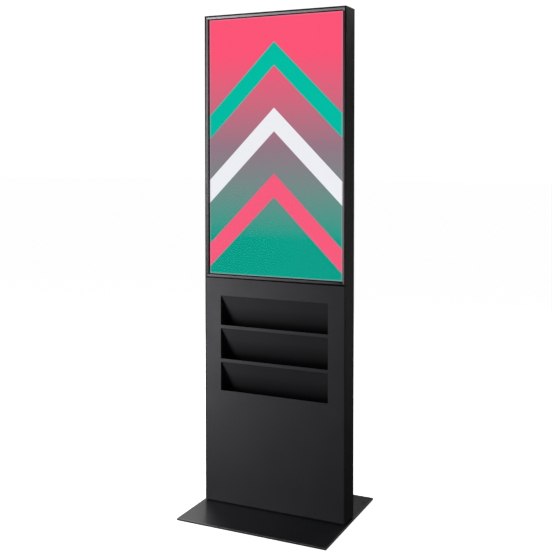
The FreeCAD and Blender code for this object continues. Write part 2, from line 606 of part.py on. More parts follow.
def make_display():
    opening = "(surround_wall + touch_band)"
    picture = f"({opening} + dark_margin)"
    cell = f"({picture} - cell_border)"
    chassis = f"({cell} - fit_gap - chassis_wall)"

    node("display_surround", frame_ring("surround", "0", "surround_wall", front,
                                        f"({front} + surround_depth)"))

    # touch frame: a ring with a sloping face, hollow behind for its sensor strips
    face = f"({front} + touch_set_back)"
    slope_end = f"({face} + touch_bevel)"
    ring = frame_ring("touch_ring", "surround_wall", opening, face, glass_front)
    slope = doc.addObject("Part::Wedge", "touch_slope")
    for end, inset, y in (("", "(surround_wall + 1.2)", face), ("2", opening, slope_end)):
        x = f"({inside} - fit_gap - {inset})"
        bind(slope, **{f"X{end}min": f"-{x}", f"X{end}max": x, f"Z{end}min": f"seam_height + {inset}",
                       f"Z{end}max": f"{screen_top} - {inset}",
                       "Ymax" if end else "Ymin": y})
    rebate = frame_ring("touch_rebate", "surround_wall + 1.8", "surround_wall + 5.6",
                        f"({glass_front} - 1.4)", glass_front)
    node("touch_frame", cut("touch_frame_cut", ring, [slope, rebate]))

    strip_y = (f"({glass_front} - 1.3)", f"({glass_front} - 0.1)")
    low, high = "(surround_wall + 2)", "(surround_wall + 5.4)"
    x_low, x_high = (f"({inside} - fit_gap - {inset})" for inset in (high, low))
    strips = []
    for side, sign in SIDES:
        ends = (f"{sign} * {x_low}", f"{sign} * {x_high}")
        ends = ends if sign == "1" else ends[::-1]
        strips.append(box(f"strip_{side}", (ends[0], strip_y[0], f"seam_height + {high} + 0.2"),
                          (ends[1], strip_y[1], f"{screen_top} - {high} - 0.2")))
    strips.append(box("strip_bottom", (f"-{x_high}", strip_y[0], f"seam_height + {low}"),
                      (x_high, strip_y[1], f"seam_height + {high}")))
    strips.append(box("strip_top", (f"-{x_high}", strip_y[0], f"{screen_top} - {high}"),
                      (x_high, strip_y[1], f"{screen_top} - {low}")))
    node("touch_sensor_strips", group("strip_set", strips))

    node("cover_glass", frame_box("glass", "(surround_wall + glass_gap)", glass_front, glass_back))
    node("glass_gasket", frame_ring("gasket", cell, f"({picture} - 0.5)", glass_back, cell_front))
    node("screen_panel", frame_box("screen", cell, cell_front, cell_back))
    node("diffuser_plate", frame_box("diffuser", f"({cell} + 2)", f"({cell_back} + 0.1)",
                                     f"({cell_back} + 0.1 + diffuser_thick)"))
    floor = f"({chassis_back} - chassis_wall)"
    node("panel_mid_frame", frame_ring("mid_frame", cell, f"({cell} + 1.8)", cell_back, floor))

    pan = cut("chassis_pan", frame_box("chassis_block", chassis, cell_front, chassis_back),
              [frame_box("chassis_hollow", f"({cell} - fit_gap)", f"({cell_front} - 1)", floor)])
    rail_x = "rail_offset"
    screw_z = [f"({screen_middle} + {sign} * (mount_spread - 40))" for sign in ("-1", "1")]
    holes = [rod(f"chassis_hole_{i}{j}", "y", (f"{sx} * {rail_x}", f"{floor} - 1", z), "3.3", "4")
             for i, sx in enumerate(("-1", "1")) for j, z in enumerate(screw_z)]
    node("display_chassis", cut("chassis_drilled", pan, holes))

    bars = []
    count, lenses = 8, 6
    for i in range(count):
        z = f"(seam_height + 70 + {i} * ({screen_top} - seam_height - 140) / {count - 1})"
        x = f"({inside} - 45)"
        pieces = [box(f"led_bar_{i}", (f"-{x}", f"({floor} - 1)", f"({z} - 7)"),
                      (x, floor, f"({z} + 7)"))]
        pieces += [rod(f"lens_{i}_{j}", "y", (f"-{x} * {1 - 2 * (j + 0.5) / lenses:.4f}",
                                              f"({floor} - 3.4)", z), "6", "2.5")
                   for j in range(lenses)]
        bars.append(fuse(f"led_{i}", pieces))
    node("backlight_bars", group("led_set", bars))

    # hat-section rails behind the chassis, screwed to it and to the crossbars
    rails = []
    wall = "tube_wall"
    for i, sign in enumerate(("-1", "1")):
        x = f"({sign} * {rail_x})"
        rear, lip = upright_front, f"({upright_front} - {wall})"
        web = f"({chassis_back} + {wall})"
        section = [(f"{x} - 25", rear), (f"{x} - 25", lip), (f"{x} - 12", lip),
                   (f"{x} - 12", chassis_back), (f"{x} + 12", chassis_back), (f"{x} + 12", lip),
                   (f"{x} + 25", lip), (f"{x} + 25", rear), (f"{x} + 10", rear),
                   (f"{x} + 10", web), (f"{x} - 10", web), (f"{x} - 10", rear)]
        raw = profile(f"rail_{i}", "XY_Plane", section, f"({screen_middle} - rail_half_length)",
                      "2 * rail_half_length")
        bores = [rod(f"rail_bore_{i}{j}", "y", (x, f"{chassis_back} - 1", z), "3.3", "4")
                 for j, z in enumerate(screw_z)]
        rails.append(cut(f"rail_{i}_bored", raw, bores))
    node("display_rails", group("rail_set", rails))
    screws = []
    for i, sx in enumerate(("-1", "1")):
        for j, z in enumerate(screw_z):
            x = f"{sx} * {rail_x}"
            screws.append(fuse(f"rail_screw_{i}{j}", [
                rod(f"rail_shank_{i}{j}", "y", (x, f"({floor} - 1)", z), "3",
                    f"{web} - {floor} + 2"),
                rod(f"rail_head_{i}{j}", "y", (x, web, z), "5.5", "3.5")]))
    node("rail_screws", group("rail_screw_set", screws))

    # Z-clips that press the display stack against the surround
    clips = []
    leg = "12"
    clip_y = (f"({chassis_back} - 9)", f"({chassis_back} + tray_sheet)")
    reach = f"({chassis} + 12)"
    for side, sign in SIDES:
        x_wall, x_in = (f"({inside} - fit_gap - {inset})" for inset in ("surround_wall", reach))
        for i, share in enumerate(("0.2", "0.5", "0.8")):
            z = f"(seam_height + {share} * ({screen_top} - seam_height))"
            shape = [(x_wall, clip_y[0]), (x_wall, clip_y[1]), (x_in, clip_y[1]),
                     (x_in, chassis_back), (f"{x_wall} - tray_sheet", chassis_back),
                     (f"{x_wall} - tray_sheet", clip_y[0])]
            shape = [(f"{sign} * ({px})", py) for px, py in shape]
            clips.append(profile(f"clip_{side}_{i}", "XY_Plane", shape, f"{z} - {leg}",
                                 f"2 * {leg}"))
    for i, (edge, sign) in enumerate((("seam_height", "1"), (screen_top, "-1"))):
        z_wall, z_in = (f"({edge} + {sign} * {inset})" for inset in ("surround_wall", reach))
        for j, x in enumerate(("-150", "150")):
            shape = [(clip_y[0], z_wall), (clip_y[1], z_wall), (clip_y[1], z_in),
                     (chassis_back, z_in), (chassis_back, f"{z_wall} + {sign} * tray_sheet"),
                     (clip_y[0], f"{z_wall} + {sign} * tray_sheet")]
            clips.append(profile(f"clip_end_{i}_{j}", "YZ_Plane", shape, f"{x} - {leg}",
                                 f"2 * {leg}"))
    node("panel_clips", group("clip_set", clips))


def board(name, x, z, width, height, parts):
    """Circuit board with blocks (dx, dz, width, height, depth) on its rear face."""
    pieces = [box(f"{name}_board", (f"{x} - {width} / 2", board_front, f"{z} - {height} / 2"),
                  (f"{x} + {width} / 2", board_back, f"{z} + {height} / 2"))]
    for i, (dx, dz, wide, tall, deep) in enumerate(parts):
        pieces.append(box(f"{name}_part_{i}",
                          (f"{x} + {dx} - {wide} / 2", f"({board_back} - 0.4)",
                           f"{z} + {dz} - {tall} / 2"),
                          (f"{x} + {dx} + {wide} / 2", f"{board_back} + {deep}",
                           f"{z} + {dz} + {tall} / 2")))
    return node(name, fuse(name + "_fused", pieces))


def make_electronics():
    main_z, power_z = f"({screen_middle} - 95)", f"({screen_middle} + 75)"
    fins = [(-35 + 5 * i, 20, 1.5, 36, 14) for i in range(8)]
    ports = [(-78 + 22 * i, -62, 16, 14, "port_depth") for i in range(6)]
    board("main_board", "0", main_z, 190, 150,
          [(-17.5, 20, 40, 36, 4)] + fins + ports + [(45, 30, 14, 14, 2), (65, 30, 14, 14, 2)])
    coils = [(-50, 25, 34, 30, 22), (0, 25, 26, 26, 18), (45, 30, 30, 40, 16)]
    board("power_board", "0", power_z, 190, 130,
          coils + [(-70, -40, 26, 18, 14), (-30, -35, 16, 16, 20), (-5, -35, 16, 16, 20),
                   (60, -40, 40, 12, 10)])
    board("touch_controller", "0", touch_z, 70, 26,
          [(-20, 0, 12, 8, "touch_plug_depth"), (10, 0, 10, 10, 1.5)])
    standoffs = []
    for tag, z, dx, dz in (("main", main_z, 90, 70), ("power", power_z, 90, 60),
                           ("touch", touch_z, 31, 9)):
        for i, (sx, sz) in enumerate(((-1, -1), (1, -1), (1, 1), (-1, 1))):
            standoffs.append(rod(f"standoff_{tag}_{i}", "y",
                                 (f"{sx * dx}", chassis_back, f"{z} + {sz * dz}"), "3",
                                 "board_standoff"))
    node("board_standoffs", group("standoff_set", standoffs))

    # loudspeakers stand on the middle cross tube and face the rear vents
    baffle = f"({upright_back} + 2)"
    cone_z = f"{speaker_rest} + speaker_height / 2"
    speakers = []
    for side, sign in SIDES:
        x = f"({sign} * speaker_x)"
        case = box(f"speaker_case_{side}",
                   (f"{x} - speaker_width / 2", f"({upright_front} + 1)", speaker_rest),
                   (f"{x} + speaker_width / 2", baffle, speaker_top))
        bowl = cone(f"speaker_bowl_{side}", ("0", "0", "0"), "10", "24", "9")
        bowl.Placement = FreeCAD.Placement(Vector(), TURNS["y"])
        place(bowl, x, f"({baffle} - 8.9)", cone_z)
        dome = doc.addObject("Part::Sphere", f"speaker_dome_{side}")
        bind(dome, Radius="9")
        place(dome, x, f"({baffle} - 14)", cone_z)
        speakers.append(fuse(f"speaker_{side}_fused",
                             [cut(f"speaker_{side}_cut", case, [bowl]), dome]))
    node("speakers", group("speaker_set", speakers))

    # equipment shelf between the uprights, with a player and a socket strip
    shelf_y = (f"({panel_back} + 8)", upright_back)
    x = f"({upright_inner} - 0.2)"
    top = "shelf_height"
    base = box("shelf_plate", (f"-{x}", shelf_y[0], f"({top} - tray_sheet)"), (x, shelf_y[1], top))
    ends = [box(f"shelf_end_{side}", (f"{sign} * {x} - {'tray_sheet' if sign == '1' else '0'}",
                                      upright_front, f"({top} - 28)"),
                (f"{sign} * {x} + {'0' if sign == '1' else 'tray_sheet'}", upright_back, top))
            for side, sign in SIDES]
    hole = rod("shelf_hole", "z", ("player_lead_x", "0", f"({top} - tray_sheet - 1)"), "shelf_hole",
               "tray_sheet + 2")
    node("equipment_shelf", cut("shelf_cut", fuse("shelf", [base] + ends), [hole]))

    low, high = ("-120", "(-17)", top), ("60", "17", f"({top} + player_height)")
    case = box("player_case", low, high)
    grooves = [box(f"player_groove_{i}", (f"{-110 + 10 * i}", "14.5", f"({top} + 20)"),
                   (f"{-106 + 10 * i}", "18", f"({top} + player_height - 20)")) for i in range(12)]
    node("media_player", cut("player_cut", case, grooves))

    strip_low = f"({body_bottom} + tray_sheet)"
    case = box("strip_case", ("-150", "(-25)", strip_low), ("60", "15", f"{strip_low} + 32"))
    wells = [rod(f"strip_well_{i}", "z", (f"{-120 + 50 * i}", "(-5)", f"{strip_low} + 22"), "17",
                 "12") for i in range(4)]
    node("socket_strip", cut("strip_cut", case, wells))


# ---- rear covers, door, hinges and lock -----------------------------------------------------------

def slots(name, count, z_low, middle="0", tall="vent_height", wide="vent_width", pitch="vent_pitch"):
    """Row of vertical vent slots through a rear sheet."""
    row = []
    for i in range(count):
        x = f"({middle} + {pitch} * {i - (count - 1) / 2})"
        row.append(box(f"{name}_{i}", (f"{x} - {wide} / 2", f"({skin_front} - 1)", z_low),
                       (f"{x} + {wide} / 2", f"({back} + 1)", f"({z_low} + {tall})")))
    return row


def make_rear():
    edge = f"({inside} - cover_gap)"
    upper_low, upper_high = f"({panel_top} + 1)", f"({cap_bottom} - 0.5)"
    skin = box("upper_skin", (f"-{edge}", skin_front, upper_low), (edge, back, upper_high))
    vents = slots("vent_top", 26, f"({upper_high} - vent_height - 50)")
    vents += slots("vent_middle", 26, f"({screen_middle} - vent_height / 2)")
    for side, sign in SIDES:
        vents += slots(f"vent_speaker_{side}", 7, f"({speaker_rest} + 14)", f"{sign} * speaker_x",
                       "vent_height / 2", "3", "8")
    node("upper_rear_cover", cut("upper_skin_vented", skin, vents))

    sill = box("sill_skin", (f"-{edge}", skin_front, f"({body_bottom} + 0.5)"), (edge, back, sill_top))
    port = box("sill_port", ("(inlet_x - 24.3)", f"({skin_front} - 1)", "(inlet_z - 14.3)"),
               ("(inlet_x + 24.3)", f"({back} + 1)", "(inlet_z + 14.3)"))
    node("rear_sill", cut("sill_cut", sill, [port]))

    # screws into the ledges: five a side on the upper cover, two a side on the sill
    screw_x = f"({inside} - ledge_width / 2 - 1)"
    rows = [f"({upper_low} + 15 + {i} * ({upper_high} - {upper_low} - 30) / 4)" for i in range(5)]
    rows += [f"({body_bottom} + 14)", f"({sill_top} - 12)"]
    screws = []
    for side, sign in SIDES:
        for i, z in enumerate(rows):
            x = f"({sign} * {screw_x})"
            screws.append(rounded_head(f"cover_screw_{side}_{i}", x, back, z))
    node("cover_screws", group("cover_screw_set", screws))

    door = box("door_sheet", (f"-{door_edge}", skin_front, door_bottom), (door_edge, back, door_top))
    vents = slots("vent_door_low", 20, f"({door_bottom} + 60)", tall="50")
    vents += slots("vent_door_high", 20, f"({door_top} - 110)", tall="50")
    bore = rod("door_lock_bore", "y", (lock_x, f"({skin_front} - 1)", "lock_height"),
               "lock_radius + 0.1", "rear_sheet + 2")
    node("service_door", cut("door_cut", door, vents + [bore]))

    ribs = []
    for i, sign in enumerate(("-1", "1")):
        x, depth = f"({sign} * 185)", f"({skin_front} - 9)"
        section = [(f"{x} - 20", skin_front), (f"{x} - 20", f"{skin_front} - 1.2"),
                   (f"{x} - 10", f"{skin_front} - 1.2"), (f"{x} - 10", depth),
                   (f"{x} + 10", depth), (f"{x} + 10", f"{skin_front} - 1.2"),
                   (f"{x} + 20", f"{skin_front} - 1.2"), (f"{x} + 20", skin_front),
                   (f"{x} + 8.8", skin_front), (f"{x} + 8.8", f"{depth} + 1.2"),
                   (f"{x} - 8.8", f"{depth} + 1.2"), (f"{x} - 8.8", skin_front)]
        ribs.append(profile(f"door_rib_{i}", "XY_Plane", section, f"({door_bottom} + 25)",
                            f"{door_top} - {door_bottom} - 50"))
    node("door_stiffeners", group("door_rib_set", ribs))


def rounded_head(name, x, face, z):
    """Pan-head screw that lies on the rear face."""
    head = rod(name + "_head", "y", (x, face, z), "cover_head", "cover_head_thick")
    crown = value(f"{face} + cover_head_thick")
    return rounded(name + "_dome", head, "edge_radius",
                   lambda edge: near(edge.BoundBox.YMin, crown, 0.01))


def make_hinges():
    frame_halves, door_halves, pins = [], [], []
    bore_radius = "hinge_pin + pin_clearance"
    for i, low in enumerate((f"({door_bottom} + hinge_inset)",
                             f"({door_top} - hinge_inset - 2 * hinge_length)")):
        split = f"({low} + hinge_length)"
        for kind, z, x_low, x_high, halves in (
                ("frame", low, f"-{half}", f"-{inside}", frame_halves),
                ("door", f"({split} + fit_gap)", f"-{door_edge}", f"(-{door_edge} + 4.5)",
                 door_halves)):
            barrel = rod(f"barrel_{kind}_{i}", "z", (hinge_x, hinge_y, z), "hinge_radius",
                         "hinge_length")
            tab = box(f"tab_{kind}_{i}", (x_low, back, z),
                      (x_high, hinge_y, f"{z} + hinge_length"))
            bore = rod(f"bore_{kind}_{i}", "z", (hinge_x, hinge_y, f"{z} - 1"), bore_radius,
                       "hinge_length + 2")
            halves.append(cut(f"half_{kind}_{i}", fuse(f"weld_{kind}_{i}", [barrel, tab]), [bore]))
        pins.append(rod(f"hinge_pin_{i}", "z", (hinge_x, hinge_y, f"{low} + 1"), "hinge_pin",
                        "2 * hinge_length - 2"))
    node("hinge_frame_halves", group("frame_half_set", frame_halves))
    node("hinge_door_halves", group("door_half_set", door_halves))
    node("hinge_pins", group("hinge_pin_set", pins))


def make_lock():
    z = "lock_height"
    body_end = f"({ledge_front} - 3.7)"
    head = rod("lock_head", "y", (lock_x, back, z), "11.5", "2.5")
    barrel = rod("lock_barrel_rod", "y", (lock_x, body_end, z), "lock_radius",
                 f"{back} - {body_end} + 1")
    nut = rod("lock_nut", "y", (lock_x, f"({skin_front} - 2.8)", z), "12.5", "2.8")
    bore = rod("lock_bore", "y", (lock_x, f"({body_end} - 1)", z), "lock_plug + pin_clearance",
               "20")
    node("lock_barrel", cut("lock_barrel_cut", fuse("lock_shell", [head, barrel, nut]), [bore]))

    # the cam's arm is cranked so that its tip runs just behind the profile's ledge
    root_back = f"({body_end} - 0.2)"
    root_front = f"({root_back} - 2)"
    plug = rod("plug_rod", "y", (lock_x, root_back, z), "lock_plug", f"{back} + 2.3 - {root_back}")
    key_slot = box("key_slot", (f"{lock_x} - 0.7", f"({back} - 4)", f"{z} - 3.5"),
                   (f"{lock_x} + 0.7", f"({back} + 3)", f"{z} + 3.5"))
    node("lock_plug", cut("plug_cut", plug, [key_slot]))

    tip_back = f"({ledge_front} - fit_gap)"
    reach = f"({inside} - {lock_x} - 2)"
    arm = [(root_front, f"{z} + 8"), (root_back, f"{z} + 8"), (root_back, f"{z} - 12"),
           (tip_back, f"{z} - 20"), (tip_back, f"{z} - {reach}"),
           (f"{tip_back} - 2", f"{z} - {reach}"), (f"{tip_back} - 2", f"{z} - 20.8"),
           (root_front, f"{z} - 12.8")]
    bar = profile("cam_arm", "YZ_Plane", arm, f"({lock_x} - 7)", "14")
    screw = rod("cam_screw", "y", (lock_x, f"({root_front} - 2)", z), "4", "2.5")
    node("lock_cam", fuse("cam_fused", [bar, screw]))


def make_inlet():
    x, z = "inlet_x", "inlet_z"
    flange = box("inlet_flange", (f"{x} - 30", back, f"{z} - 17"), (f"{x} + 30", f"({back} + 2)", f"{z} + 17"))
    case = box("inlet_case", (f"{x} - 24", f"({back} - 26)", f"{z} - 14"), (f"{x} + 24", back, f"{z} + 14"))
    shell = fuse("inlet_shell", [flange, case])
    cavity = box("inlet_cavity", (f"{x} - 3", f"({back} - 17)", f"{z} - 9"), (f"{x} + 21", f"({back} + 3)", f"{z} + 9"))
    well = box("rocker_well", (f"{x} - 20", f"({back} - 8)", f"{z} - rocker_half - 1.4"),
               (f"{x} - 7", f"({back} + 3)", f"{z} + rocker_half + 1.4"))
    hollow = cut("inlet_hollow", shell, [cavity, well])
    pins = [box(f"inlet_pin_{i}", (f"{x} + 9 + {dx} - 2", f"({back} - 18)", f"{z} + {dz} - 1"),
                (f"{x} + 9 + {dx} + 2", f"({back} - 7)", f"{z} + {dz} + 1"))
            for i, (dx, dz) in enumerate(((-7, -3), (7, -3), (0, 3.5)))]
    node("mains_inlet", fuse("inlet_fused", [hollow] + pins))

    rocker = doc.addObject("Part::Box", "rocker_block")
    bind(rocker, Length="12", Width="6.5", Height="2 * rocker_half")
    tilt = FreeCAD.Rotation(Vector(1, 0, 0), -sheet.rocker_tilt)
    centre = Vector(sheet.inlet_x - 13.5, sheet.body_depth / 2, sheet.inlet_z)
    corner = Vector(-6, -3.5, -sheet.rocker_half)
    rocker.Placement = FreeCAD.Placement(centre + tilt.multVec(corner), tilt)
    node("power_rocker", rocker)


# ---- leads and clips --------------------------------------------------------------------------------

def lead(name, points, radius):
    """Round lead along straight runs joined by tangent arcs as large as the runs allow."""
    points = [Vector(*point) for point in points]
    edges, start = [], points[0]
    for before, corner, after in zip(points, points[1:], points[2:]):
        into, out = (corner - before), (after - corner)
        shorter = min(into.Length, out.Length)
        half_turn = into.getAngle(out) / 2
        into.normalize()
        out.normalize()
        trim = 0.45 * shorter
        bend = trim / math.tan(half_turn)
        first, last = corner - into * trim, corner + out * trim
        middle = corner + (out - into).normalize() * (bend / math.cos(half_turn) - bend)
        edges.append(Part.LineSegment(start, first).toShape())
        edges.append(Part.Arc(first, middle, last).toShape())
        start = last
    edges.append(Part.LineSegment(start, points[-1]).toShape())
    path = Part.Wire(edges)
    ring = Part.Wire(Part.makeCircle(radius, points[0], points[1] - points[0]))
    item = doc.addObject("Part::Feature", name)
    item.Shape = path.makePipeShell([ring], True, False)
    expected = math.pi * radius ** 2 * path.Length
    if abs(item.Shape.Volume / expected - 1) > 0.02:
        raise ValueError(f"{name}: tube volume is off")
    return item


def make_leads():
    """Leads held inside the body; the long ones climb the rear of the left upright in three lanes."""
    doc.recompute()
    at = {name: item.Shape.BoundBox for name, item in nodes.items()}
    strip, player, inlet = at["socket_strip"], at["media_player"], at["mains_inlet"]
    main, power, touch = at["main_board"], at["power_board"], at["touch_controller"]
    mains, signal = sheet.lead_radius, sheet.signal_radius
    post_in, post_back = value(upright_inner), value(upright_back)
    board_y, bar_back = value(board_back), value(f"{upright_front} + cross_depth")
    lane_y = post_back + mains + 0.7
    lanes = [-post_in - 5.7 - i * sheet.lane_gap for i in range(3)]
    turn_x = -post_in + 10

    inlet_lead = lead("inlet_run", [
        (sheet.inlet_x, inlet.YMin, sheet.inlet_z), (sheet.inlet_x, -6, sheet.inlet_z),
        (sheet.inlet_x - 22, -10, 30), (strip.XMax + 35, 3, strip.ZMin + 9),
        (strip.XMax, 3, strip.ZMin + 9)], mains)

    hole = sheet.player_lead_x
    player_lead = lead("player_run", [
        (strip.XMax, -14, strip.ZMax - 11), (strip.XMax + 30, -14, strip.ZMax - 11),
        (hole, -6, strip.ZMax + 15), (hole, 0, sheet.shelf_height - 50),
        (hole, 0.5, sheet.shelf_height + 14), (hole - 10, 0, player.ZMin + 52),
        (player.XMax, 0, player.ZMin + 52)], signal)
    node("service_leads", group("service_run_set", [inlet_lead, player_lead]))

    climb = strip.ZMax + 65
    socket_y = board_y + sheet.port_depth / 2 + 1.4
    power_exit = power.ZMin + 25
    node("display_mains_lead", lead("display_mains_run", [
        (strip.XMin, -5, strip.ZMin + 14), (strip.XMin - 40, -5, strip.ZMin + 14),
        (turn_x + 2, lane_y - 8, climb - 45), (turn_x, lane_y, climb - 20),
        (lanes[2], lane_y, climb + 20), (lanes[2], lane_y, power_exit - 90),
        (turn_x, lane_y, power_exit - 30), (turn_x + 30, 12, power_exit),
        (power.XMin - 20, socket_y, power_exit), (power.XMin + 12, socket_y, power_exit)], mains))

    start_z, screen_exit = player.ZMin + 64, main.ZMin + 13
    screen_lead = lead("signal_run", [
        (player.XMin, 0, start_z), (player.XMin - 60, 0, start_z),
        (turn_x + 2, 20, start_z + 22), (turn_x, lane_y, start_z + 50),
        (lanes[1], lane_y, start_z + 100), (lanes[1], lane_y, screen_exit - 80),
        (turn_x, lane_y, screen_exit - 26), (turn_x + 30, 10, screen_exit),
        (main.XMin - 22, socket_y, screen_exit), (main.XMin + 9, socket_y, screen_exit)], signal)

    # the touch lead crosses between the loudspeaker and the crossbar
    start_z, touch_exit = player.ZMin + 98, value(touch_z)
    crossing_room = (value(crossbar_low) - value(speaker_top)) / 2
    plug_y = board_y + sheet.touch_plug_depth / 2 + 0.2
    touch_lead = lead("touch_run", [
        (player.XMin, 0, start_z), (player.XMin - 60, 0, start_z),
        (turn_x + 2, 20, start_z + 22), (turn_x, lane_y, start_z + 50),
        (lanes[0], lane_y, start_z + 90), (lanes[0], lane_y, touch_exit - 70),
        (turn_x, lane_y, touch_exit - crossing_room / 4), (turn_x + 40, 5, touch_exit),
        (touch.XMin - 40, plug_y, touch_exit), (touch.XMin + 9, plug_y, touch_exit)], signal)
    node("signal_leads", group("signal_run_set", [screen_lead, touch_lead]))

    # each speaker lead drops behind the crossbar, then runs out to its case below it
    runs = []
    port_z, port_y, drop_y = main.ZMin + 13, board_y + sheet.port_depth, bar_back + 6
    case_top = at["speakers"].ZMax
    drop = port_z - case_top
    for side, column, port in (("left", -1, 3), ("right", 1, 5)):
        x, port_x = column * sheet.speaker_x, main.XMin + 17 + 22 * port
        runs.append(lead(f"speaker_run_{side}", [
            (port_x, port_y, port_z), (port_x, drop_y, port_z), (port_x, drop_y, port_z - drop / 3),
            (x - column * 70, drop_y, case_top + drop * 0.23), (x, 10, case_top + drop * 0.17),
            (x, 10, case_top)], sheet.speaker_radius))
    node("speaker_leads", group("speaker_run_set", runs))

    # saddles on the left upright, bored for the three lanes
    saddles = []
    low, high = (-post_in - sheet.tube_width, -post_in)
    first_level = 400
    step = (touch_exit - 110 - first_level) / 3
    levels = [first_level + i * step for i in range(4)] + [screen_exit + 20]
    for i, level in enumerate(levels):
        block = box(f"saddle_{i}", (f"{low}", f"{post_back}", f"({level} - clip_width / 2)"),
                    (f"{high}", f"{lane_y + 4.2}", f"({level} + clip_width / 2)"))
        bores = [rod(f"saddle_bore_{i}{j}", "z", (f"{lane}", f"{lane_y}", f"({level} - clip_width)"),
                     f"{radius + 0.15}", "2 * clip_width")
                 for j, (lane, radius) in enumerate(zip(lanes, (signal, signal, mains)))]
        saddles.append(cut(f"saddle_{i}_bored", block, bores))
    node("lead_clips", group("saddle_set", saddles))


# ---- build, check and write -----------------------------------------------------------------------

make_base()
make_shell(make_frame())
make_front_panel()
make_trays()
make_display()
make_electronics()
make_rear()
make_hinges()
make_lock()
make_inlet()
make_leads()
doc.recompute()

for item in doc.Objects:
    if "Invalid" in item.State or "Error" in item.State:
        raise RuntimeError(f"{item.Label}: {item.State}")
for name, item in nodes.items():
    if item.Shape.isNull() or not item.Shape.isValid():
        raise RuntimeError(f"{name}: bad shape")

os.makedirs("parts", exist_ok=True)
for name, item in nodes.items():
    item.Shape.exportStep(os.path.join("parts", name + ".step"))
print(len(nodes), "sub-parts,", sum(len(item.Shape.Solids) for item in nodes.values()), "solids")
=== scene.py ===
"""Looks of the display kiosk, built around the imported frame. Metres, +Z up, the screen faces -Y."""
import json
import math

import bmesh
import bpy
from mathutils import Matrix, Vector


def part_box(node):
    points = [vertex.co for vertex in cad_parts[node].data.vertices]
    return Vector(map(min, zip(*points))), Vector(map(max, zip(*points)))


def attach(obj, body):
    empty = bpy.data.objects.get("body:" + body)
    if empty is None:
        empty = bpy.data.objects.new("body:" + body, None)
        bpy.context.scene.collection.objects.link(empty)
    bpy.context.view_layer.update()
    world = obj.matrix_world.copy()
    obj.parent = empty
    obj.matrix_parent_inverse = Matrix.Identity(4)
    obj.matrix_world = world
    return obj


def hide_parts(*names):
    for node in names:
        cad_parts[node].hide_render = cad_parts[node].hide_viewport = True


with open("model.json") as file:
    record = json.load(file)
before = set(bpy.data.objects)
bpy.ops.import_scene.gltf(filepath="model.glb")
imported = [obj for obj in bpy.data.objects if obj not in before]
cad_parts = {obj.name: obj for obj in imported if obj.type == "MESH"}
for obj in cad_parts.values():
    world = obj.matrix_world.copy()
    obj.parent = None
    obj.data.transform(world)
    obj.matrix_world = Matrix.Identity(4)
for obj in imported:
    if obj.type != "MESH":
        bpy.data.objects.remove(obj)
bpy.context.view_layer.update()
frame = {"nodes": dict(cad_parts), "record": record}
node_slot = {part["node"]: part["material_slot"] for part in frame["record"]["subparts"]}

# ---- camera --------------------------------------------------------------------------------------

CAMERA_PLACE = (1.3652, -2.9191, 1.3046)
CAMERA_TURN = (math.radians(88.205), 0.0, math.radians(25.18))
camera_data = bpy.data.cameras.new("camera")
camera_data.sensor_width = 36.0
camera_data.lens = 57.8
camera_data.shift_y = -0.1683
camera_data.clip_end = 200.0
camera = bpy.data.objects.new("camera", camera_data)
camera.location = CAMERA_PLACE
camera.rotation_euler = CAMERA_TURN
bpy.context.scene.collection.objects.link(camera)
bpy.context.scene.camera = camera
bpy.context.scene.view_settings.view_transform = "Standard"


# ---- small helpers for node materials ------------------------------------------------------------

